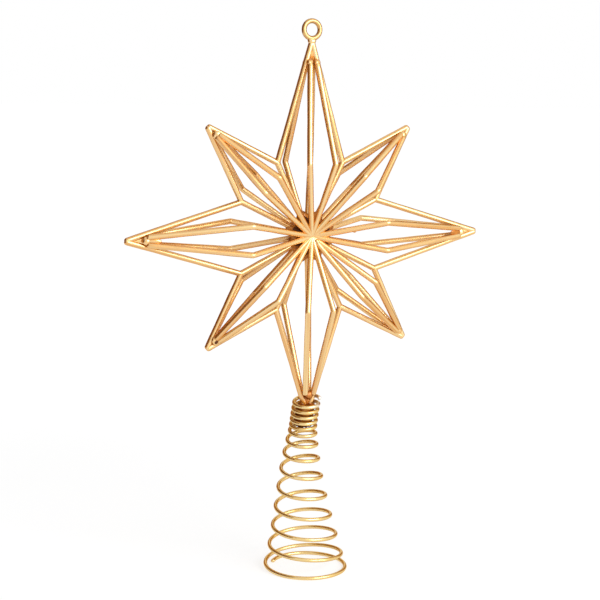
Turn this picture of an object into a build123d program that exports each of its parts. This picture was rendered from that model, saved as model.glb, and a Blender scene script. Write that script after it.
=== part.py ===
from build123d import *
import math
import os

# Tree topper star: a star of bent and welded rods on a conical wire coil that slips over the top of a tree.
# Millimetres. X to the right, Y to the back, Z up. The coil stands on Z = 0 with its axis on Z.
# The star lies in the XZ plane and faces -Y.

# Star rods, drawn with flat sides
rod_d = 3.2
rod_sides = 12
weld_gap = 0.03

# Star outline: reach of the tips from the hub, and the valleys between neighbouring arms.
# The bottom arm is a little shorter and stands in the coil.
cardinal_reach = 105.0
bottom_reach = 100.0
diagonal_reach = 84.5
arm_step = 45.0
valley_radius = 44.4
valley_angle = 25.8
tip_half_width = 0.4

# Inner rods: their bend, measured along the arm, to its side and away from the middle plane
cardinal_bend_along = 39.7
cardinal_bend_side = 7.6
diagonal_bend_along = 41.0
diagonal_bend_side = 5.6
star_half_depth = 16.8

# Inner rods: their outer ends stop short of the tip and lie on the shoulders of the outline rods
cardinal_end_setback = 11.5
diagonal_end_setback = 7.0
seat_angle = 58.0
end_chamfer = 0.7

# Hanging eye, welded to the top tip
eye_hole_d = 6.6
eye_wire_d = 2.7
eye_wire_sides = 8

# Coil: turns counted from its top end, which grips the bottom tip of the star
coil_wire_d = 2.0
coil_wire_sides = 6
coil_clearance = 0.95
coil_grip_depth = 9.0
coil_grip_turns = 4.9
coil_grip_pitch = 3.08
coil_rise_turns = 4.2
coil_open_turns = 4.4
coil_open_pitch = 11.2
coil_close_turns = 0.3
coil_foot_turns = 0.65
coil_foot_radius = 23.1
coil_foot_flat = 0.2
coil_flare = 1.57
coil_tuck_gap = 0.7
coil_end_angle = -24.0
coil_bow = 3.4
coil_bow_rise = 1.45
coil_dip = 10.0
coil_dip_side = 226.0

rod_r = rod_d / 2
coil_wire_r = coil_wire_d / 2
coil_side_turn = 2 * math.pi / coil_wire_sides
coil_corner_r = coil_wire_r * math.sqrt(coil_side_turn / math.sin(coil_side_turn))
diagonal_valley = arm_step - valley_angle
rod_reach_over = 2 * rod_d


def direction(angle):
    """Unit vector at an angle from the arm's axis, in the middle plane of the star."""
    return Vector(math.cos(math.radians(angle)), math.sin(math.radians(angle)), 0)


class Arm:
    """One arm of the star in its own frame: X along the arm, Y to its side, Z to the front."""

    def __init__(self, reach, valley, bend_along, bend_side, end_setback):
        self.reach = reach
        self.valley = valley
        self.bend = Vector(bend_along, bend_side, star_half_depth)
        self.fork = direction(valley) * valley_radius
        self.tip = Vector(reach, tip_half_width, 0)
        self.edge = (self.tip - self.fork).normalized()
        self.half_angle = math.atan2(-self.edge.Y, self.edge.X)
        seat = rod_d + weld_gap
        along = reach - end_setback
        beside = seat * math.cos(math.radians(seat_angle)) / math.cos(self.half_angle)
        side = tip_half_width + end_setback * math.tan(self.half_angle) - beside
        self.inner_end = Vector(along, side, seat * math.sin(math.radians(seat_angle)))

    def half_width(self, setback):
        """Distance from the arm's axis to the outer side of an outline rod, this far short of the tip."""
        return tip_half_width + setback * math.tan(self.half_angle) + rod_r / math.cos(self.half_angle)

    def sector(self):
        """Half of the arm's share of the star: between its axis, the valley and the cut across its tip."""
        apex_x = weld_gap / 2 / math.tan(math.radians(self.valley / 2))
        rise = (self.reach - apex_x) * math.tan(math.radians(self.valley))
        near = weld_gap / 2
        corners = [(apex_x, near), (self.reach, near), (self.reach, near + rise)]
        return extrude(make_face(Polyline(*corners, close=True)), amount=2 * star_half_depth, both=True)


def bent_rod(start, bend, end):
    """Rod with one sharp bend. A corner of its section faces the front."""
    section = Plane(origin=start, x_dir=(0, 0, 1), z_dir=bend - start) * RegularPolygon(rod_r, rod_sides)
    return sweep(section, path=Polyline(start, bend, end), transition=Transition.RIGHT)


def halfway_cuts(place, toward, others):
    """Planes that part a rod from those it is welded to: halfway between them, less half the gap."""
    cuts = []
    for other in others:
        away = (toward - other).normalized()
        cuts.append(Plane(origin=place + away * (weld_gap / 2), z_dir=away))
    return cuts


def trimmed_rod(start, end, cuts):
    """Straight rod through two points, cut at both ends. A corner of its section faces the front."""
    over = (end - start).normalized() * rod_reach_over
    section = Plane(origin=start - over, x_dir=(0, 0, 1), z_dir=over) * RegularPolygon(rod_r, rod_sides)
    rod = extrude(section, amount=(end - start).length + 2 * rod_reach_over)
    for cut in cuts:
        rod = split(rod, bisect_by=cut, keep=Keep.TOP)
    return rod.solid()


def facing_edge(other):
    """Edge of the next arm, on the side that faces this one, in this arm's frame."""
    return Vector(other.edge.X, -other.edge.Y, 0).rotate(Axis.Z, arm_step)


def valley_rod(arm, other):
    """Rod in the middle plane, from the hub to the valley between an arm and the next one."""
    ray = direction(arm.valley)
    cuts = halfway_cuts(Vector(0, 0, 0), ray, [direction(-arm.valley), direction(2 * arm_step - arm.valley)])
    cuts += halfway_cuts(arm.fork, -ray, [arm.edge, facing_edge(other)])
    return trimmed_rod(Vector(0, 0, 0), arm.fork, cuts)


def outline_rod(arm, other):
    """Rod in the middle plane, along the edge of an arm from its valley with the next one to its tip."""
    cuts = halfway_cuts(arm.fork, arm.edge, [-direction(arm.valley), facing_edge(other)])
    cuts += halfway_cuts(Vector(arm.reach, 0, 0), -arm.edge, [Vector(-arm.edge.X, arm.edge.Y, 0)])
    cuts.append(Plane(origin=(arm.reach, 0, 0), z_dir=(-1, 0, 0)))
    return trimmed_rod(arm.fork, arm.tip, cuts)


def inner_rod(arm):
    """Rod that bulges to the front: from the hub to its bend, then down to the outline rod near the tip."""
    lean = math.atan2(star_half_depth - rod_d, arm.bend.X)
    hub = Vector(0, 0, rod_r + rod_r / math.cos(lean) + weld_gap)
    start = hub - (arm.bend - hub).normalized() * rod_reach_over
    rod = bent_rod(start, arm.bend, arm.inner_end)
    rim = rod.faces().sort_by_distance(arm.inner_end)[0].edges()
    return (chamfer(rim, end_chamfer) & arm.sector()).solid()


def hanging_eye():
    """Ring of wire that stands in the star's plane."""
    section = Pos((eye_hole_d + eye_wire_d) / 2, 0) * RegularPolygon(eye_wire_d / 2, eye_wire_sides)
    return revolve(section, axis=Axis.Y)


def quarter_turns(begin, finish):
    """Even stops along the coil, a quarter of a turn apart or less."""
    count = math.ceil(4 * (finish - begin))
    return [begin + (finish - begin) * i / count for i in range(count + 1)]


class Coil:
    """Centre line of the coil by turns from its top end. It goes down anticlockwise, seen from above."""

    def __init__(self, grip_radius):
        self.grip_radius = grip_radius
        self.rise_end = coil_grip_turns + coil_rise_turns
        self.open_end = self.rise_end + coil_open_turns
        self.foot = self.open_end + coil_close_turns
        self.turns = self.foot + coil_foot_turns
        self.foot_height = coil_wire_r - coil_foot_flat
        self.top_height = self.foot_height + self.drop(self.foot)
        self.end_radius = self.radius(self.turns - 1) - 2 * coil_corner_r - coil_tuck_gap

    def drop(self, turn):
        """How far the wire has come down: tight grip, pitch that opens, steady pitch and flat foot."""
        rising = min(max(turn - coil_grip_turns, 0), coil_rise_turns)
        closing = min(max(turn - self.open_end, 0), coil_close_turns)
        gain = (coil_open_pitch - coil_grip_pitch) / coil_rise_turns
        fall = coil_grip_pitch * min(turn, coil_grip_turns)
        fall += coil_grip_pitch * rising + gain * rising**2 / 2
        fall += coil_open_pitch * min(max(turn - self.rise_end, 0), coil_open_turns)
        fall += coil_open_pitch * (closing - closing**2 / (2 * coil_close_turns))
        return fall

    def radius(self, turn):
        """Steady round the grip, then a flaring cone, then the end tucked inside the turn above it."""
        if turn > self.foot:
            share = (turn - self.foot) / coil_foot_turns
            return coil_foot_radius + (self.end_radius - coil_foot_radius) * share**2
        share = max(turn - coil_grip_turns, 0) / (self.foot - coil_grip_turns)
        return self.grip_radius + (coil_foot_radius - self.grip_radius) * share**coil_flare

    def point(self, turn):
        """The coil's axis bows to the left between its foot and its top, most in its upper half.
        The grip's turns dip to the front and left, and those below it less and less down to the foot."""
        angle = math.radians(coil_end_angle + 360 * turn)
        radius = self.radius(turn)
        height = self.top_height - self.drop(turn)
        bow = coil_bow * math.sin(math.pi * (height / self.top_height) ** coil_bow_rise)
        share = min(max((self.foot - turn) / (self.foot - coil_grip_turns), 0), 1)
        slant = math.tan(math.radians(coil_dip)) * share
        dip = slant * radius * math.cos(angle - math.radians(coil_dip_side))
        return Vector(radius * math.cos(angle) - bow, radius * math.sin(angle), height - dip)

    def tangent(self, turn, step=1e-3):
        before = max(turn - step, 0)
        after = min(turn + step, self.turns)
        return (self.point(after) - self.point(before)).normalized()

    def path(self):
        """Quarter turns down to the foot and on to the end, each of two arcs that meet with one tangent."""
        stops = quarter_turns(0, self.foot) + quarter_turns(self.foot, self.turns)[1:]
        arcs = []
        for begin, finish in zip(stops, stops[1:]):
            p0, p1 = self.point(begin), self.point(finish)
            t0, t1 = self.tangent(begin), self.tangent(finish)
            chord = p1 - p0
            lean = chord.dot(t0 + t1)
            spread = 2 * (1 - t0.dot(t1))
            reach = (math.sqrt(lean**2 + spread * chord.dot(chord)) - lean) / spread
            middle = (p0 + p1 + (t0 - t1) * reach) * 0.5
            first = Edge.make_tangent_arc(p0, t0, middle)
            arcs += [first, Edge.make_tangent_arc(middle, first % 1, p1)]
        return Wire(arcs)

    def solid(self):
        path = self.path()
        section = Plane(origin=path @ 0, z_dir=path % 0) * RegularPolygon(coil_corner_r, coil_wire_sides)
        return split(sweep(section, path=path, clean=False), bisect_by=Plane.XY, keep=Keep.TOP).solid()

    def least_gap(self, steps=48):
        """Least room between two turns of the wire, on points along its centre line."""
        count = int(self.turns * steps)
        points = [self.point(self.turns * i / count) for i in range(count + 1)]
        pairs = [(a, b) for a in range(count + 1) for b in range(a + steps // 2, count + 1)]
        return min((points[a] - points[b]).length for a, b in pairs) - 2 * coil_corner_r


cardinal = Arm(cardinal_reach, valley_angle, cardinal_bend_along, cardinal_bend_side, cardinal_end_setback)
diagonal = Arm(diagonal_reach, diagonal_valley, diagonal_bend_along, diagonal_bend_side, diagonal_end_setback)
bottom = Arm(bottom_reach, valley_angle, cardinal_bend_along, cardinal_bend_side, cardinal_end_setback)
coil = Coil(bottom.half_width(coil_grip_depth) + coil_clearance + coil_corner_r)
hub_height = coil.top_height - coil_grip_depth + bottom_reach

parts = {}
parts["base_coil"] = coil.solid()

eye_height = hub_height + cardinal_reach + weld_gap + eye_hole_d / 2 + eye_wire_d
parts["hanging_eye"] = Pos(0, 0, eye_height) * hanging_eye()

arm_names = ["right", "upper_right", "top", "upper_left", "left", "lower_left", "bottom", "lower_right"]
arms = [cardinal, diagonal, cardinal, diagonal, cardinal, diagonal, bottom, diagonal]
for number, (name, arm) in enumerate(zip(arm_names, arms)):
    angle = math.radians(arm_step * number)
    along = Vector(math.cos(angle), 0, math.sin(angle))
    frame = Plane(origin=(0, 0, hub_height), x_dir=along, z_dir=(0, -1, 0))
    before, after = arms[number - 1], arms[(number + 1) % len(arms)]
    front = inner_rod(arm)
    back = mirror(front, about=Plane.XY)
    parts[name + "_valley_rod"] = frame * valley_rod(arm, after)
    parts[name + "_outline_rod_ccw"] = frame * outline_rod(arm, after)
    parts[name + "_outline_rod_cw"] = frame * mirror(outline_rod(arm, before), about=Plane.XZ)
    for layer, rod in (("front", front), ("back", back)):
        parts[name + "_" + layer + "_rod_ccw"] = frame * rod
        parts[name + "_" + layer + "_rod_cw"] = frame * mirror(rod, about=Plane.XZ)

os.makedirs("parts", exist_ok=True)
for name, solid in parts.items():
    export_step(solid, os.path.join("parts", name + ".step"))

print("nodes", len(parts))
print("hub height", round(hub_height, 2), "coil top", round(coil.top_height, 2))
print("coil grip radius", round(coil.grip_radius, 2), "coil turns", coil.turns)
print("coil least gap to itself", round(coil.least_gap(), 2))
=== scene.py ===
import math

import bpy
import numpy as np
from mathutils import Matrix, Vector


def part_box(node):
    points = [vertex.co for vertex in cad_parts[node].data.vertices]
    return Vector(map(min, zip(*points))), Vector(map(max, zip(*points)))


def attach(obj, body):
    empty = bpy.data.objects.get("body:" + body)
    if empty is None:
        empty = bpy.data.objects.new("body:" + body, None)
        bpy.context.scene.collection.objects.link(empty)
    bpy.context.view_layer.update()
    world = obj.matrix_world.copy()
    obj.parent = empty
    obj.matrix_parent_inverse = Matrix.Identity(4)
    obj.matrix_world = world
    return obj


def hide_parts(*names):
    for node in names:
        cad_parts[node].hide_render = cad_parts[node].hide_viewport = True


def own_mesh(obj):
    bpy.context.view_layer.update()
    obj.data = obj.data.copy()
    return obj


# The solids give every piece its place. The star's hub hangs one long arm's reach below the tip
# of the top rods.
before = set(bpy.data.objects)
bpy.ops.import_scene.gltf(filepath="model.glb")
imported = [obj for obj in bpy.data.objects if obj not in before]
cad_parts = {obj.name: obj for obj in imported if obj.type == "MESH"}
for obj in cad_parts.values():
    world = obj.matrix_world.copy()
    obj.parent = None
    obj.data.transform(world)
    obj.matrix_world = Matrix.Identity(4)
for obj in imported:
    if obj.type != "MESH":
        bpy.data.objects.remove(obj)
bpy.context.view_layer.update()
long_reach = 0.105
hub = np.array([0.0, 0.0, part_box("top_outline_rod_cw")[1].z - long_reach])


# Outline rods: steel rod, cut to length, in the star's middle plane. One runs from the hub to each valley,
# and two go on from there along the edges of the neighbouring arms to their tips. They are welded end to
# end, then the whole star is dipped in gold metallic paint.
rod_radius = 0.0016
rod_sides = 24
short_reach, bottom_reach = 0.0845, 0.1000
valley_reach, valley_start = 0.0444, 0.004
tip_half_width = 0.0004
tip_rounding, swell_room = 0.9, 1.06
grain_step = 170.0
arm_names = ["right", "upper_right", "top", "upper_left", "left", "lower_left", "bottom", "lower_right"]
arm_turns = np.radians(45.0 * np.arange(8))
valley_angles = np.radians([25.8, 19.2] * 4)
arm_reaches = np.array([long_reach, short_reach] * 3 + [bottom_reach, short_reach])
forks = valley_reach * np.stack([np.cos(valley_angles), np.sin(valley_angles), np.zeros(8)], -1)
edge_slopes = (forks[:, 1] - tip_half_width) / (arm_reaches - forks[:, 0])


def unit(vector):
    """The vector at length 1."""
    return vector / np.linalg.norm(vector)


def arm_axes(number):
    """Rows of one arm's own frame: outwards along it, to its counter-clockwise side, and to the front."""
    turn = arm_turns[number]
    outwards = [math.cos(turn), 0, math.sin(turn)]
    to_side = [-math.sin(turn), 0, math.cos(turn)]
    return np.array([outwards, to_side, [0, -1.0, 0]])


def straight_line(start, end, points=60):
    """Centre line of a straight rod: start + (end - start) s, for s from 0 to 1."""
    return start + (end - start) * np.linspace(0, 1, points)[:, None]


def millimetres_along(line):
    """Distance of each point of a line from its start."""
    steps = np.linalg.norm(np.diff(line, axis=0), axis=1)
    return np.concatenate([[0], np.cumsum(steps)]) * 1000


def paint_swell(line, seed):
    """Uneven thickness of the paint along a rod, as a share of its radius: 1 plus three sine waves, each
    with its height, its length in millimetres and its shift from rod to rod."""
    along = millimetres_along(line)
    waves = [(0.018, 3.7, 1.7), (0.014, 8.3, 2.9), (0.012, 1.9, 4.1)]
    return sum((height * np.sin(along / length + shift * seed) for height, length, shift in waves), 1)


def whole_turn(count):
    """A row of even angles, once round a circle."""
    return np.linspace(0, 2 * math.pi, count, endpoint=False)[None]


def grid_of(*coordinates):
    """A grid of points from three coordinates, each a row, a column, a grid or one number."""
    return np.stack(np.broadcast_arrays(*coordinates), -1)


def round_rod(line, radius, across, dome, sides=rod_sides, dome_points=7):
    """Circle carried along a line: point = line + r (cos(b) across + sin(b) beside), with both ends
    rounded by rings that step out by r sin(a) times dome while they shrink to r cos(a).
    Gives the grid of points and, for each, the paint's grain: cos b, sin b and millimetres along."""
    smallest_ring = 0.04
    tangent = np.gradient(line, axis=0)
    tangent /= np.linalg.norm(tangent, axis=1)[:, None]
    radius = np.broadcast_to(radius, len(line)).astype(float)
    angle = np.linspace(0, math.pi / 2, dome_points)[1:]
    shrink = np.maximum(np.cos(angle), smallest_ring)
    before = line[0] - tangent[0] * radius[0] * dome * np.sin(angle[::-1])[:, None]
    after = line[-1] + tangent[-1] * radius[-1] * dome * np.sin(angle)[:, None]
    spine = np.vstack([before, line, after])
    tangent = np.pad(tangent, ((len(angle), len(angle)), (0, 0)), "edge")
    size = np.concatenate([radius[0] * shrink[::-1], radius, radius[-1] * shrink])
    across = across - tangent * np.sum(tangent * across, 1)[:, None]
    across /= np.linalg.norm(across, axis=1)[:, None]
    beside = np.cross(tangent, across)
    turn = whole_turn(sides)
    ring = np.cos(turn)[..., None] * across[:, None] + np.sin(turn)[..., None] * beside[:, None]
    grain = grid_of(np.cos(turn), np.sin(turn), millimetres_along(spine)[:, None])
    return spine[:, None] + size[:, None, None] * ring, grain


def tube_faces(rings, sides, first, closed):
    """Quads between neighbouring rings, all facing outwards. The last ring of a closed tube meets the
    first, and an open tube has one face over each end."""
    ring = np.arange(rings if closed else rings - 1)[:, None] * sides
    next_ring = (ring + sides) % (rings * sides)
    side = np.arange(sides)[None]
    next_side = (side + 1) % sides
    quads = np.stack([ring + side, ring + next_side, next_ring + next_side, next_ring + side], -1)
    faces = (first + quads).reshape(-1, 4).tolist()
    if closed:
        return faces
    last = first + (rings - 1) * sides
    return faces + [list(range(first + sides - 1, first - 1, -1)), list(range(last, last + sides))]


def add_piece(name, shapes, material, body="star", closed=False):
    """One object of one or more tubes or beads, each a grid of points with its grain."""
    points, grains, faces, first = [], [], [], 0
    for grid, grain in shapes:
        rings, sides = grid.shape[:2]
        faces += tube_faces(rings, sides, first, closed)
        points.append(grid.reshape(-1, 3))
        grains.append(grain.reshape(-1, 3))
        first += rings * sides
    mesh = bpy.data.meshes.new(name)
    mesh.from_pydata(np.vstack(points), [], faces)
    painted = mesh.attributes.new("grain", "FLOAT_VECTOR", "POINT")
    painted.data.foreach_set("vector", np.vstack(grains).ravel())
    mesh.polygons.foreach_set("use_smooth", np.ones(len(mesh.polygons), bool))
    mesh.materials.append(material)
    mesh.update()
    piece = bpy.data.objects.new(name, mesh)
    bpy.context.scene.collection.objects.link(piece)
    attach(piece, body)
    return piece


def add_node(tree, kind, **settings):
    """A node with its settings and its sockets' values, the latter by name in a dict called sockets."""
    sockets = settings.pop("sockets", {})
    made = tree.nodes.new(kind)
    for key, value in settings.items():
        setattr(made, key, value)
    for key, value in sockets.items():
        made.inputs[key].default_value = value
    return made


def new_group(name, inputs, outputs):
    """An empty shader group with the given sockets, and its two end nodes."""
    group = bpy.data.node_groups.new(name, "ShaderNodeTree")
    for key, (kind, value) in inputs.items():
        socket = group.interface.new_socket(key, in_out="INPUT", socket_type=kind)
        if value is not None:
            socket.default_value = value
    for key, kind in outputs.items():
        group.interface.new_socket(key, in_out="OUTPUT", socket_type=kind)
    return group, group.nodes.new("NodeGroupInput"), group.nodes.new("NodeGroupOutput")


# Streaks left along a rod by the die that it was drawn through, still felt under the paint. Where they
# mix the pale and deep gold, they are also painted reflection lines along the rods.
drawn_streaks_and_painted_reflections, start, finish = new_group(
    "drawn_streaks_and_painted_reflections",
    {"Grain": ("NodeSocketVector", None),
     "Around": ("NodeSocketFloat", 1.2),
     "Along": ("NodeSocketFloat", 0.012)},
    {"Streak": "NodeSocketFloat", "Height": "NodeSocketFloat"})
link = drawn_streaks_and_painted_reflections.links.new
stretch = add_node(drawn_streaks_and_painted_reflections, "ShaderNodeCombineXYZ")
link(start.outputs["Around"], stretch.inputs["X"])
link(start.outputs["Around"], stretch.inputs["Y"])
link(start.outputs["Along"], stretch.inputs["Z"])
scaled = add_node(drawn_streaks_and_painted_reflections, "ShaderNodeVectorMath", operation="MULTIPLY")
link(start.outputs["Grain"], scaled.inputs[0])
link(stretch.outputs["Vector"], scaled.inputs[1])
coarse = add_node(drawn_streaks_and_painted_reflections, "ShaderNodeTexNoise",
                  sockets={"Scale": 1.0, "Detail": 2.0, "Roughness": 0.55})
fine = add_node(drawn_streaks_and_painted_reflections, "ShaderNodeTexNoise",
                sockets={"Scale": 3.1, "Detail": 3.0, "Roughness": 0.6})
link(scaled.outputs["Vector"], coarse.inputs["Vector"])
link(scaled.outputs["Vector"], fine.inputs["Vector"])
spread = add_node(drawn_streaks_and_painted_reflections, "ShaderNodeMapRange", sockets={"From Min": 0.34, "From Max": 0.66})
link(coarse.outputs["Fac"], spread.inputs["Value"])
link(spread.outputs["Result"], finish.inputs["Streak"])
link(fine.outputs["Fac"], finish.inputs["Height"])

# Chips and drops of dirt in the paint: small dark spots, gathered in patches.
paint_chips, start, finish = new_group(
    "paint_chips",
    {"Place": ("NodeSocketVector", None),
     "Scale": ("NodeSocketFloat", 520.0),
     "Few": ("NodeSocketFloat", 0.80)},
    {"Chip": "NodeSocketFloat"})
link = paint_chips.links.new
spots = add_node(paint_chips, "ShaderNodeTexNoise", sockets={"Detail": 1.0, "Roughness": 0.4})
link(start.outputs["Place"], spots.inputs["Vector"])
link(start.outputs["Scale"], spots.inputs["Scale"])
above = add_node(paint_chips, "ShaderNodeMath", operation="SUBTRACT")
link(spots.outputs["Fac"], above.inputs[0])
link(start.outputs["Few"], above.inputs[1])
edge = add_node(paint_chips, "ShaderNodeMapRange", sockets={"From Min": 0.0, "From Max": 0.03})
link(above.outputs["Value"], edge.inputs["Value"])
link(edge.outputs["Result"], finish.inputs["Chip"])


def gold_paint(name, pale, deep, edge_tint, rough, lacquer, streak_values=None, chip_values=None):
    """Gold metallic paint under a thin clear lacquer: pale and deep gold by the streaks, partly the rod's
    grain and partly painted reflection lines, a lacquer that is less shiny towards a rod's sides, pale bare
    metal where a piece has worn, dark chips, and a gloss that follows the streaks."""
    bare_metal, chip_brown = (0.86, 0.80, 0.70, 1), (0.10, 0.045, 0.018, 1)
    side_lacquer, duller, glossier = 0.58, 0.06, 0.04
    material = bpy.data.materials.new(name)
    material.use_nodes = True
    tree = material.node_tree
    link = tree.links.new
    paint = tree.nodes["Principled BSDF"]
    plain = {"Metallic": 1.0, "Specular Tint": edge_tint, "Coat Roughness": 0.08, "Coat IOR": 2.1}
    for key, value in plain.items():
        paint.inputs[key].default_value = value
    grain = add_node(tree, "ShaderNodeAttribute", attribute_name="grain")
    place = add_node(tree, "ShaderNodeTexCoord")
    streaks = add_node(tree, "ShaderNodeGroup", node_tree=drawn_streaks_and_painted_reflections, sockets=streak_values or {})
    chips = add_node(tree, "ShaderNodeGroup", node_tree=paint_chips, sockets=chip_values or {})
    link(grain.outputs["Vector"], streaks.inputs["Grain"])
    link(place.outputs["Object"], chips.inputs["Place"])
    # Pale and deep gold along the streaks: partly the rod's grain, partly painted reflection lines.
    gold = add_node(tree, "ShaderNodeMix", data_type="RGBA")
    gold.inputs["A"].default_value = deep
    gold.inputs["B"].default_value = pale
    link(streaks.outputs["Streak"], gold.inputs["Factor"])
    worn = add_node(tree, "ShaderNodeAttribute", attribute_name="worn")
    bare = add_node(tree, "ShaderNodeMix", data_type="RGBA")
    bare.inputs["B"].default_value = bare_metal
    link(worn.outputs["Fac"], bare.inputs["Factor"])
    link(gold.outputs["Result"], bare.inputs["A"])
    chipped = add_node(tree, "ShaderNodeMix", data_type="RGBA")
    chipped.inputs["B"].default_value = chip_brown
    link(chips.outputs["Chip"], chipped.inputs["Factor"])
    link(bare.outputs["Result"], chipped.inputs["A"])
    link(chipped.outputs["Result"], paint.inputs["Base Color"])
    away = add_node(tree, "ShaderNodeLayerWeight", sockets={"Blend": 0.5})
    shine = add_node(tree, "ShaderNodeMapRange", interpolation_type="SMOOTHSTEP",
                     sockets={"From Min": 0.08, "From Max": 0.55,
                              "To Min": lacquer, "To Max": lacquer * side_lacquer})
    link(away.outputs["Facing"], shine.inputs["Value"])
    link(shine.outputs["Result"], paint.inputs["Coat Weight"])
    gloss = add_node(tree, "ShaderNodeMapRange",
                     sockets={"To Min": rough + duller, "To Max": rough - glossier})
    link(streaks.outputs["Streak"], gloss.inputs["Value"])
    link(gloss.outputs["Result"], paint.inputs["Roughness"])
    relief = add_node(tree, "ShaderNodeBump", sockets={"Strength": 0.025, "Distance": 0.00006})
    link(streaks.outputs["Height"], relief.inputs["Height"])
    link(relief.outputs["Normal"], paint.inputs["Normal"])
    return material


rod_gold = gold_paint("rod_gold", pale=(0.852, 0.590, 0.230, 1), deep=(0.70, 0.318, 0.035, 1),
                      edge_tint=(0.70, 0.31, 0.030, 1), rough=0.30, lacquer=1.0)


def add_rod(node, line, axes, across, dome, seed):
    """One rod of the star in the place of its solid, with its own swell of paint and its own grain."""
    shape, grain = round_rod(hub + line @ axes, rod_radius * paint_swell(line, seed), across, dome)
    grain[..., 2] += grain_step * seed
    rod = add_piece("gold_" + node, [(shape, grain)], rod_gold)
    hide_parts(node)


for number, arm_name in enumerate(arm_names):
    axes = arm_axes(number)
    fork = forks[number]
    tip = np.array([arm_reaches[number] - rod_radius * tip_rounding * swell_room, tip_half_width, 0])
    rods = {"valley_rod": straight_line(fork * valley_start / valley_reach, fork),
            "outline_rod_ccw": straight_line(fork, tip),
            "outline_rod_cw": straight_line(fork, tip) * np.array([1, -1, 1])}
    for order, (rod_name, line) in enumerate(rods.items()):
        add_rod(f"{arm_name}_{rod_name}", line, axes, axes[2], tip_rounding, len(rods) * number + order)


# Inner rods: the same rod, two to an arm on the front and two on the back. They bulge out to a
# sharp bend and come back down on to the outline rods, short of the tip, where they are welded.
bulge = 0.0168
inner_bends = np.array([[0.0397, 0.0076, bulge], [0.0410, 0.0056, bulge]])
inner_bend_radius = 0.0020
inner_rounding, end_trim = 0.8, 0.7
inner_seed = 40
end_setbacks = np.array([0.0115, 0.0070])
seat_angle = math.radians(58.0)
weld_gap = 0.00003
seat = 2 * rod_radius + weld_gap


def bent_line(start, bend, end, bend_radius, run_points=28, bend_points=9):
    """Centre line of a rod with one bend: a straight run, an arc and a straight run.
    The arc is centre - inward * R cos(a) + onward * R sin(a), for a from minus to plus half the turn."""
    first, second = unit(bend - start), unit(end - bend)
    half_turn = math.acos(np.clip(first @ second, -1, 1)) / 2
    inward, onward = unit(second - first), unit(first + second)
    centre = bend + inward * bend_radius / math.cos(half_turn)
    angle = np.linspace(-half_turn, half_turn, bend_points)[:, None]
    arc = centre - inward * bend_radius * np.cos(angle) + onward * bend_radius * np.sin(angle)
    share = np.linspace(0, 1, run_points)[:-1, None]
    run_in = start + (arc[0] - start) * share
    run_out = arc[-1] + (end - arc[-1]) * share[1:]
    return np.vstack([run_in, arc, run_out, end])


for number, arm_name in enumerate(arm_names):
    axes = arm_axes(number)
    kind = number % 2
    slope, bend, setback = edge_slopes[number], inner_bends[kind], end_setbacks[kind]
    beside = seat * math.cos(seat_angle) * math.hypot(1, slope)
    end = np.array([arm_reaches[number] - setback, tip_half_width + setback * slope - beside,
                    seat * math.sin(seat_angle)])
    end = end - unit(end - bend) * rod_radius * end_trim
    lean = math.atan2(bulge - 2 * rod_radius, bend[0])
    root = np.array([0, 0, rod_radius + rod_radius / math.cos(lean) + weld_gap])
    for front, layer in ((1, "front"), (-1, "back")):
        for side, hand in ((1, "ccw"), (-1, "cw")):
            flip = np.array([1, side, front])
            line = bent_line(root, bend, end, inner_bend_radius) * flip
            across = np.cross(line[0] - line[-1], bend * flip - line[0]) @ axes
            seed = inner_seed + 4 * number + 2 * (side > 0) + (front > 0)
            add_rod(f"{arm_name}_{layer}_rod_{hand}", line, axes, across, inner_rounding, seed)


# Hanging eye: a ring of thinner steel rod, bent round and closed, for a hook or a ribbon. It is welded
# on the top tip, and its gold is darker than the star's, as painted shade.
eye_hole = 0.0033
eye_wire = 0.00134
eye_low, eye_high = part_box("hanging_eye")
eye_centre = np.array([0, 0, (eye_low.z + eye_high.z) / 2])


def ring_of_wire(centre, middle, wire, rings=96, sides=rod_sides):
    """Torus: point = centre + (R + w cos(b)) outward(a) + w sin(b) front, for a round the ring."""
    around, about = whole_turn(rings).T, whole_turn(sides)
    reach = middle + wire * np.cos(about)
    grid = centre + grid_of(reach * np.sin(around), -wire * np.sin(about), reach * np.cos(around))
    return grid, grid_of(np.cos(about), np.sin(about), around * middle * 1000)


# The eye's paint is deeper and darker than the rods': painted shade over the whole ring.
eye_gold_painted_shade = gold_paint("eye_gold_painted_shade", pale=(0.644, 0.378, 0.100, 1), deep=(0.468, 0.202, 0.024, 1),
                      edge_tint=(0.42, 0.17, 0.02, 1), rough=0.32, lacquer=0.7)
eye_ring = ring_of_wire(eye_centre, eye_hole + eye_wire, eye_wire)
eye = add_piece("gold_hanging_eye", [eye_ring], eye_gold_painted_shade, closed=True)
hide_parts("hanging_eye")


# Welds: beads of filler metal, laid by hand where the rods meet and painted over with the rest. A knot
# fills the hub between the rods, and a near-black lens inside it is painted shade for the deep crevices
# between the rods there. A tongue fills each tip, and beads and seams hold the rods' ends and the eye.
nugget_place, nugget_size = np.array([0.0023, -0.0054, -0.0028]), np.array([0.0013, 0.0015, 0.0013])
tongue_thick = 0.0008
tongue_back, tongue_tip = 0.0016, 0.0018
end_bead = np.array([0.0024, 0.0024, 0.0015])
bead_sink = 0.92
lone_end_bead = np.array([0.0019, 0.0018, 0.0017])
seam_bead = np.array([0.0046, 0.0017, 0.0010])
seam_back = 0.0030
# Place and size of a near-black bead of painted shade at the lower-left tip.
shade_spot_onward, shade_spot_height, shade_spot_size = 0.0006, 0.0032, np.array([0.0011, 0.0009, 0.0011])
eye_weld_rise, eye_weld_size = 0.0003, np.array([0.0024, 0.0018, 0.0021])
drip_place, drip_size = np.array([0.0223, 0.0033, 0.0107]), np.array([0.0012, 0.0011, 0.0010])


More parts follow.
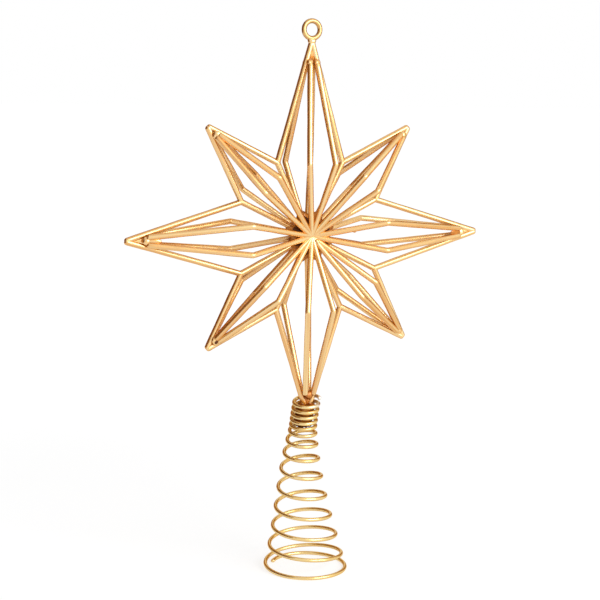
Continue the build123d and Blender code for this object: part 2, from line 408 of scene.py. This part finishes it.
def bead(centre, axes, reaches, seed, lumps=0.07, rings=17, sides=28):
    """Lumpy ball: point = centre + g (-rx cos(a) first + ry sin(a) cos(b) second + rz sin(a) sin(b) third),
    where g is 1 plus slow waves round and along the ball."""
    pole = 0.04
    tilt, about = np.linspace(pole, math.pi - pole, rings)[:, None], whole_turn(sides)
    wave = np.sin(tilt) * np.sin(2 * about + 1.3 * seed)
    wave += np.sin(tilt) * np.sin(3 * about + 2 * tilt - 2.1 * seed)
    ball = grid_of(-np.cos(tilt), np.sin(tilt) * np.cos(about), np.sin(tilt) * np.sin(about))
    grid = centre + (ball * (1 + lumps * wave)[..., None] * reaches) @ axes
    return grid, grid_of(np.cos(about), np.sin(about), 1.5 * tilt + 40 * seed)


def hub_knot(thick, wide, scallop, rings=25, sides=144):
    """Lens: point = hub - t cos(a) front + w (1 - s cos(8b)) sin(a) (cos(b) right + sin(b) up), so that its
    rim runs out along the rods of the valleys and draws back between them, with slow waves on both."""
    pole = 0.02
    tilt, about = np.linspace(pole, math.pi - pole, rings)[:, None], whole_turn(sides)
    rim = 1 - scallop * np.cos(8 * about) + 0.03 * np.sin(3 * about + 1) + 0.02 * np.sin(5 * about)
    reach = wide * rim * np.sin(tilt)
    lump = 1 + 0.05 * np.sin(5 * about + 3 * tilt) * np.sin(tilt)
    grid = hub + grid_of(reach * np.cos(about), thick * lump * np.cos(tilt), reach * np.sin(about))
    return grid, grid_of(np.cos(about), np.sin(about), 9 * tilt)


def closed_ends(share, bluntness):
    """Share of the full width along a plug that closes at both ends: root of 1 - |2s - 1| to a power."""
    narrowest = 0.003
    return np.sqrt(np.maximum(1 - np.abs(2 * share - 1)**bluntness, narrowest))


def tip_tongue(axes, inner, outer, half_widths, half_thick, seed, rings=22, sides=20):
    """Tongue between two outline rods: point = x along + c w(x) cos(b) side + c t sin(b) front, where w
    narrows evenly from one half width to the other, t has slow waves and c closes both ends."""
    share, about = np.linspace(0, 1, rings)[:, None], whole_turn(sides)
    close = closed_ends(share, 5)
    lump = 1 + 0.16 * np.sin(7 * share + 1.9 * seed) * np.sin(about) + 0.08 * np.sin(13 * share + seed)
    wide = half_widths[0] + (half_widths[1] - half_widths[0]) * share
    grid = grid_of(inner + (outer - inner) * share, close * wide * np.cos(about),
                   close * lump * half_thick * np.sin(about))
    return hub + grid @ axes, grid_of(np.cos(about), np.sin(about), 8 * share + 30 * seed)


weld_streaks, weld_chips = {"Around": 3.0, "Along": 0.3}, {"Few": 0.72}
# Weld paint: a rougher, deeper gold for the filler, darkened partly as painted shade where it stands in the
# dark gaps between rods: the hub's knot, the top and bottom tongues, the right seam, the bottom beads.
weld_gold_and_painted_shade = gold_paint("weld_gold_and_painted_shade", pale=(0.60, 0.24, 0.040, 1), deep=(0.408, 0.136, 0.018, 1),
                       edge_tint=(0.36, 0.12, 0.02, 1), rough=0.5, lacquer=0.2,
                       streak_values=weld_streaks, chip_values=weld_chips)
# Near-black weld paint: painted shade for the deep crevices at the hub and the dark gap at the lower-left
# tip; the grip solder's ragged lower band uses it too.
painted_shade_weld = gold_paint("painted_shade_weld", pale=(0.18, 0.054, 0.0116, 1), deep=(0.076, 0.022, 0.0068, 1),
                        edge_tint=(0.10, 0.03, 0.01, 1), rough=0.55, lacquer=0.1,
                        streak_values=weld_streaks, chip_values=weld_chips)
# The knot takes the darker weld paint: partly its own pooled paint, partly painted shade between the rods.
add_piece("weld_hub_knot", [hub_knot(thick=0.0036, wide=0.0134, scallop=0.11)], weld_gold_and_painted_shade)
# A near-black lens inside the knot, as painted shade in the crevices between the rods at the hub.
add_piece("weld_hub_painted_shade", [hub_knot(thick=0.0046, wide=0.0115, scallop=0.16)], painted_shade_weld)
nugget = bead(hub + nugget_place, np.eye(3), nugget_size, seed=3, lumps=0.12)
add_piece("weld_hub_nugget", [nugget], rod_gold)

for number, arm_name in enumerate(arm_names):
    axes = arm_axes(number)
    kind = number % 2
    reach, slope, setback = arm_reaches[number], edge_slopes[number], end_setbacks[kind]
    weld_along, weld_height = reach - setback, 2 * rod_radius * math.sin(seat_angle)
    inner, outer = weld_along - tongue_back, reach - tongue_tip
    widths = tip_half_width + slope * (reach - np.array([inner, outer]))
    tongue = tip_tongue(axes, inner, outer, widths, tongue_thick, number)
    # The top and bottom tongues take the darker weld paint, as painted shade in the grooves between their
    # rods.
    add_piece(f"weld_{arm_name}_tongue", [tongue], weld_gold_and_painted_shade if arm_name in ("top", "bottom") else rod_gold)
    if arm_name in ("left", "right"):
        weld_place = np.array([weld_along, 0, weld_height])
        onward = unit(weld_place - inner_bends[kind] * np.array([1, 0, 1]))
        slant = np.array([onward, [0, 1.0, 0], np.cross(onward, [0, 1.0, 0])])
        seam_place = hub + (weld_place - onward * seam_back) @ axes
        seam = bead(seam_place, slant @ axes, seam_bead, seed=3 * number + 1)
        # The right seam takes the darker weld paint, as painted shade between the rods.
        add_piece(f"weld_{arm_name}_seam", [seam], rod_gold if arm_name == "left" else weld_gold_and_painted_shade)
    beads = []
    for front in (1, -1):
        if arm_name == "top":
            spread = tip_half_width + slope * setback - 2 * rod_radius * math.cos(seat_angle)
            places = [(weld_along, spread, front * weld_height), (weld_along, -spread, front * weld_height)]
            size = lone_end_bead
        else:
            places = [(weld_along, 0.0, front * weld_height * bead_sink)]
            size = end_bead
        beads += [bead(hub + np.array(place) @ axes, axes, size, 2 * number + front) for place in places]
    # The bottom arm's beads take the darker weld paint, as painted shade between its rods.
    add_piece(f"weld_{arm_name}_arm", beads, weld_gold_and_painted_shade if arm_name == "bottom" else rod_gold)
    if arm_name == "lower_left":
        # A near-black bead at the lower-left tip: painted shade for the dark gap between the inner rods'
        # end and the tip.
        shade_spot_place = hub + np.array([weld_along + shade_spot_onward, 0, shade_spot_height]) @ axes
        add_piece("weld_lower_left_painted_shade", [bead(shade_spot_place, axes, shade_spot_size, seed=5)], painted_shade_weld)

eye_weld_place = hub + np.array([0, 0, long_reach + eye_weld_rise])
add_piece("weld_hanging_eye", [bead(eye_weld_place, np.eye(3), eye_weld_size, seed=9)], rod_gold)
right_axes = arm_axes(arm_names.index("right"))
add_piece("paint_drip", [bead(hub + drip_place @ right_axes, right_axes, drip_size, seed=6)], rod_gold)


# Base coil: one length of spring wire, wound on a cone and painted gold. Its top turns grip the star's
# bottom tip, its open turns slip over the top of a tree, and its last turn lies flat with its end tucked
# inside.
wire_radius = 0.00106
coil_points = 1000
grip_turns, rise_turns, open_turns, close_turns, foot_turns = 4.9, 4.2, 4.4, 0.3, 0.65
turns_to_foot = grip_turns + rise_turns + open_turns + close_turns
grip_pitch, open_pitch = 0.00308, 0.0112
grip_radius, foot_radius, end_radius, flare = 0.00696, 0.0231, 0.01921, 1.57
grip_depth = 0.009
coil_first_angle = math.radians(-24.0)
coil_bow, coil_bow_rise = 0.0034, 1.45
coil_dip, coil_dip_side = math.radians(10.0), math.radians(226.0)
coil_top = hub[2] - bottom_reach + grip_depth
worn_end, worn_place, worn_reach = 5.0, 44.0, 5.0


def axis_bow(height):
    """How far the coil's axis bows to the left at a height: a sine, most in its upper half."""
    return coil_bow * np.sin(math.pi * (height / coil_top)**coil_bow_rise)


def coil_line(turn):
    """Centre line of the coil by turns from its top end: an even grip, a pitch that opens steadily,
    an even pitch, and a flat foot; the radius grows as a power of the turns below the grip, and the
    axis bows to the left. The turns dip to the front and left, less and less down to the foot."""
    rising = np.clip(turn - grip_turns, 0, rise_turns)
    closing = np.clip(turn - grip_turns - rise_turns - open_turns, 0, close_turns)
    drop = grip_pitch * np.minimum(turn, grip_turns + rise_turns)
    drop += (open_pitch - grip_pitch) * rising**2 / (2 * rise_turns)
    drop += open_pitch * np.clip(turn - grip_turns - rise_turns, 0, open_turns)
    drop += open_pitch * (closing - closing**2 / (2 * close_turns))
    share = np.clip((turn - grip_turns) / (turns_to_foot - grip_turns), 0, 1)
    tuck = np.clip((turn - turns_to_foot) / foot_turns, 0, 1)
    radius = grip_radius + (foot_radius - grip_radius) * share**flare
    radius += (end_radius - foot_radius) * tuck**2
    angle = coil_first_angle + 2 * math.pi * turn
    height = coil_top - drop
    dip = math.tan(coil_dip) * (1 - share) * radius * np.cos(angle - coil_dip_side)
    return np.stack([radius * np.cos(angle) - axis_bow(height), radius * np.sin(angle), height - dip], -1)


coil_gold = gold_paint("coil_gold", pale=(0.836, 0.634, 0.260, 1), deep=(0.748, 0.458, 0.092, 1),
                       edge_tint=(0.82, 0.57, 0.18, 1), rough=0.30, lacquer=0.85,
                       streak_values={"Around": 1.4, "Along": 0.03})
wire_line = coil_line(np.linspace(0, turns_to_foot + foot_turns, coil_points))
shape, grain = round_rod(wire_line, wire_radius, np.array([0, 0, 1.0]), dome=0.5, sides=16, dome_points=5)
shape[..., 2] = np.maximum(shape[..., 2], 0)
coil = add_piece("gold_base_coil", [(shape, grain)], coil_gold, "coil")
along = grain[..., 2].ravel()
worn = np.exp(-(along / worn_end)**2) + np.exp(-((along - worn_place) / worn_reach)**2)
coil.data.attributes.new("worn", "FLOAT", "POINT").data.foreach_set("value", np.minimum(worn, 1))
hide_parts("base_coil")
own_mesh(coil)


# Grip solder: run in round the star's bottom tip to hold the coil's top turns. It fills the grip behind
# the wire, painted with the rest, and its lower edge is a ragged, near-black band.
solder_low, solder_high, dark_band_high = 0.0806, 0.0946, 0.0846
solder_low_radius, solder_high_radius, dark_band_low_radius = 0.0047, 0.0053, 0.0048


def grip_fill(low, high, low_radius, high_radius, ragged, seed, rings=30, sides=72):
    """Lumpy plug on the coil's axis: point = (r cos(b) - bow(z), r sin(b), z), with r growing from low to
    high and closing at both ends, and z drawn up from the low end by waves in b and dipping with the coil's
    turns at the high end."""
    share, about = np.linspace(0, 1, rings)[:, None], whole_turn(sides)
    waves = 0.5 * np.sin(3 * about + seed) + 0.3 * np.sin(7 * about - 2 * seed) + 0.2 * np.sin(13 * about)
    height = low + ragged * (1 + waves) * (1 - share) + (high - low) * share
    lump = 1 + 0.02 * np.sin(5 * about + 9 * share)
    radius = closed_ends(share, 9) * (low_radius + (high_radius - low_radius) * share) * lump
    height = height - math.tan(coil_dip) * share * radius * np.cos(about - coil_dip_side)
    grid = grid_of(radius * np.cos(about) - axis_bow(height), radius * np.sin(about), height)
    return grid, grid_of(np.cos(about), np.sin(about), 12 * share + 50 * seed)


solder = grip_fill(solder_low, solder_high, solder_low_radius, solder_high_radius, ragged=0.0014, seed=2)
add_piece("weld_grip_solder", [solder], weld_gold_and_painted_shade)
# The ragged lower band, in the same near-black paint as the painted shade at the hub.
dark_band = grip_fill(solder_low, dark_band_high, dark_band_low_radius, solder_low_radius, ragged=0.0009, seed=5)
add_piece("weld_grip_dark_band", [dark_band], painted_shade_weld)


# Studio: a pale floor and a white room, one large soft lamp in front on the right, and brown cards on the
# left and just outside the picture behind, which give the rods their dark sides and edges.
white, floor_grey = (1, 1, 1, 1), (0.45, 0.45, 0.45, 1)
room_light, room_seen = 0.5, 1.0
near_glow, far_glow = 0.70, 0.80
floor_reach = 30.0
card_foot = 0.01
world = bpy.data.worlds.new("white_room")
bpy.context.scene.world = world
world.use_nodes = True
tree = world.node_tree
link = tree.links.new
back = tree.nodes["Background"]
back.inputs["Color"].default_value = white
path = add_node(tree, "ShaderNodeLightPath")
seen = add_node(tree, "ShaderNodeMath", operation="MAXIMUM")
link(path.outputs["Is Camera Ray"], seen.inputs[0])
link(path.outputs["Is Glossy Ray"], seen.inputs[1])
seen_through = add_node(tree, "ShaderNodeMath", operation="MAXIMUM")
link(seen.outputs["Value"], seen_through.inputs[0])
link(path.outputs["Is Transmission Ray"], seen_through.inputs[1])
level = add_node(tree, "ShaderNodeMapRange", sockets={"To Min": room_light, "To Max": room_seen})
link(seen_through.outputs["Value"], level.inputs["Value"])
link(level.outputs["Result"], back.inputs["Strength"])


def add_plane(name, corners, material):
    """A flat four-cornered sheet of the studio."""
    mesh = bpy.data.meshes.new(name)
    mesh.from_pydata(corners, [], [(0, 1, 2, 3)])
    mesh.materials.append(material)
    sheet = bpy.data.objects.new(name, mesh)
    bpy.context.scene.collection.objects.link(sheet)
    return sheet


floor_white = bpy.data.materials.new("floor_white")
floor_white.use_nodes = True
tree = floor_white.node_tree
link = tree.links.new
tree.nodes.remove(tree.nodes["Principled BSDF"])
place = add_node(tree, "ShaderNodeTexCoord")
away = add_node(tree, "ShaderNodeVectorMath", operation="LENGTH")
link(place.outputs["Object"], away.inputs[0])
strength = add_node(tree, "ShaderNodeMapRange", interpolation_type="SMOOTHSTEP",
                    sockets={"From Min": 0.05, "From Max": 0.9, "To Min": near_glow, "To Max": far_glow})
link(away.outputs["Value"], strength.inputs["Value"])
glow = add_node(tree, "ShaderNodeEmission", sockets={"Color": white})
link(strength.outputs["Result"], glow.inputs["Strength"])
paper = add_node(tree, "ShaderNodeBsdfDiffuse", sockets={"Color": floor_grey})
both = add_node(tree, "ShaderNodeAddShader")
link(glow.outputs["Emission"], both.inputs[0])
link(paper.outputs["BSDF"], both.inputs[1])
link(both.outputs["Shader"], tree.nodes["Material Output"].inputs["Surface"])
add_plane("floor", [(-floor_reach, -floor_reach, 0), (floor_reach, -floor_reach, 0),
                    (floor_reach, floor_reach, 0), (-floor_reach, floor_reach, 0)], floor_white)


def card_paper(name, colour):
    """Matt paper of one colour."""
    paper = bpy.data.materials.new(name)
    paper.use_nodes = True
    paper.node_tree.nodes["Principled BSDF"].inputs["Base Color"].default_value = colour
    paper.node_tree.nodes["Principled BSDF"].inputs["Roughness"].default_value = 1.0
    return paper


def add_card(name, first_turn, last_turn, distance, height, paper):
    """A standing card between two turns, in degrees about the object from its front to its right. It shows
    in the metal only, and casts no shadow or colour on the floor."""
    turn = np.radians([first_turn, last_turn, last_turn, first_turn])
    rise = np.array([card_foot, card_foot, height, height])
    corners = np.stack([distance * np.sin(turn), -distance * np.cos(turn), rise], -1)
    card = add_plane(name, corners.tolist(), paper)
    card.visible_camera = False
    card.visible_diffuse = False
    card.visible_shadow = False


deep_brown = card_paper("deep_brown_paper", (0.20, 0.075, 0.02, 1))
warm_brown = card_paper("warm_brown_paper", (0.45, 0.19, 0.06, 1))
add_card("left_card", -150, -58, distance=1.0, height=1.6, paper=deep_brown)
add_card("back_left_card", 170, 208, distance=1.0, height=1.4, paper=warm_brown)
add_card("back_right_card", 100, 142, distance=1.2, height=1.2, paper=warm_brown)


def add_lamp(name, place, aim, width, height, power):
    """An oblong soft lamp that faces the point it lights."""
    lamp = bpy.data.lights.new(name, "AREA")
    lamp.shape = "RECTANGLE"
    lamp.size = width
    lamp.size_y = height
    lamp.energy = power
    holder = bpy.data.objects.new(name, lamp)
    bpy.context.scene.collection.objects.link(holder)
    holder.location = place
    holder.rotation_euler = (Vector(aim) - Vector(place)).to_track_quat("-Z", "Y").to_euler()
    holder.visible_camera = False


add_lamp("key_lamp", place=(0.50, -1.17, 0.62), aim=(0, 0, 0.18), width=1.0, height=0.7, power=11.5)


# Camera: a long lens to the left of the star's front and above its middle, turned by under a degree.
# Its place and length were fitted to the star's tips, valleys and bends.
camera_back = 0.777721
camera_side = -0.416385
camera_rise = 0.143968
camera_roll = 0.012974
camera_shift_right = -0.004570
camera_shift_up = -0.035523
focal_pixels, frame_pixels = 1411.417, 600.0
onward = np.array([-math.sin(camera_side) * math.cos(camera_rise),
                   math.cos(camera_side) * math.cos(camera_rise),
                   -math.sin(camera_rise)])
level_right = np.array([math.cos(camera_side), math.sin(camera_side), 0])
level_up = np.cross(level_right, onward)
right = math.cos(camera_roll) * level_right + math.sin(camera_roll) * level_up
upward = -math.sin(camera_roll) * level_right + math.cos(camera_roll) * level_up
stand = hub - camera_back * onward + camera_shift_right * level_right + np.array([0, 0, camera_shift_up])
camera_data = bpy.data.cameras.new("camera")
camera_data.sensor_width = 36.0
camera_data.lens = camera_data.sensor_width * focal_pixels / frame_pixels
camera_data.clip_start = 0.01
camera = bpy.data.objects.new("camera", camera_data)
bpy.context.scene.collection.objects.link(camera)
camera.matrix_world = Matrix.Translation(stand) @ Matrix(np.column_stack([right, upward, -onward])).to_4x4()
bpy.context.scene.camera = camera
bpy.context.scene.view_settings.view_transform = "Standard"
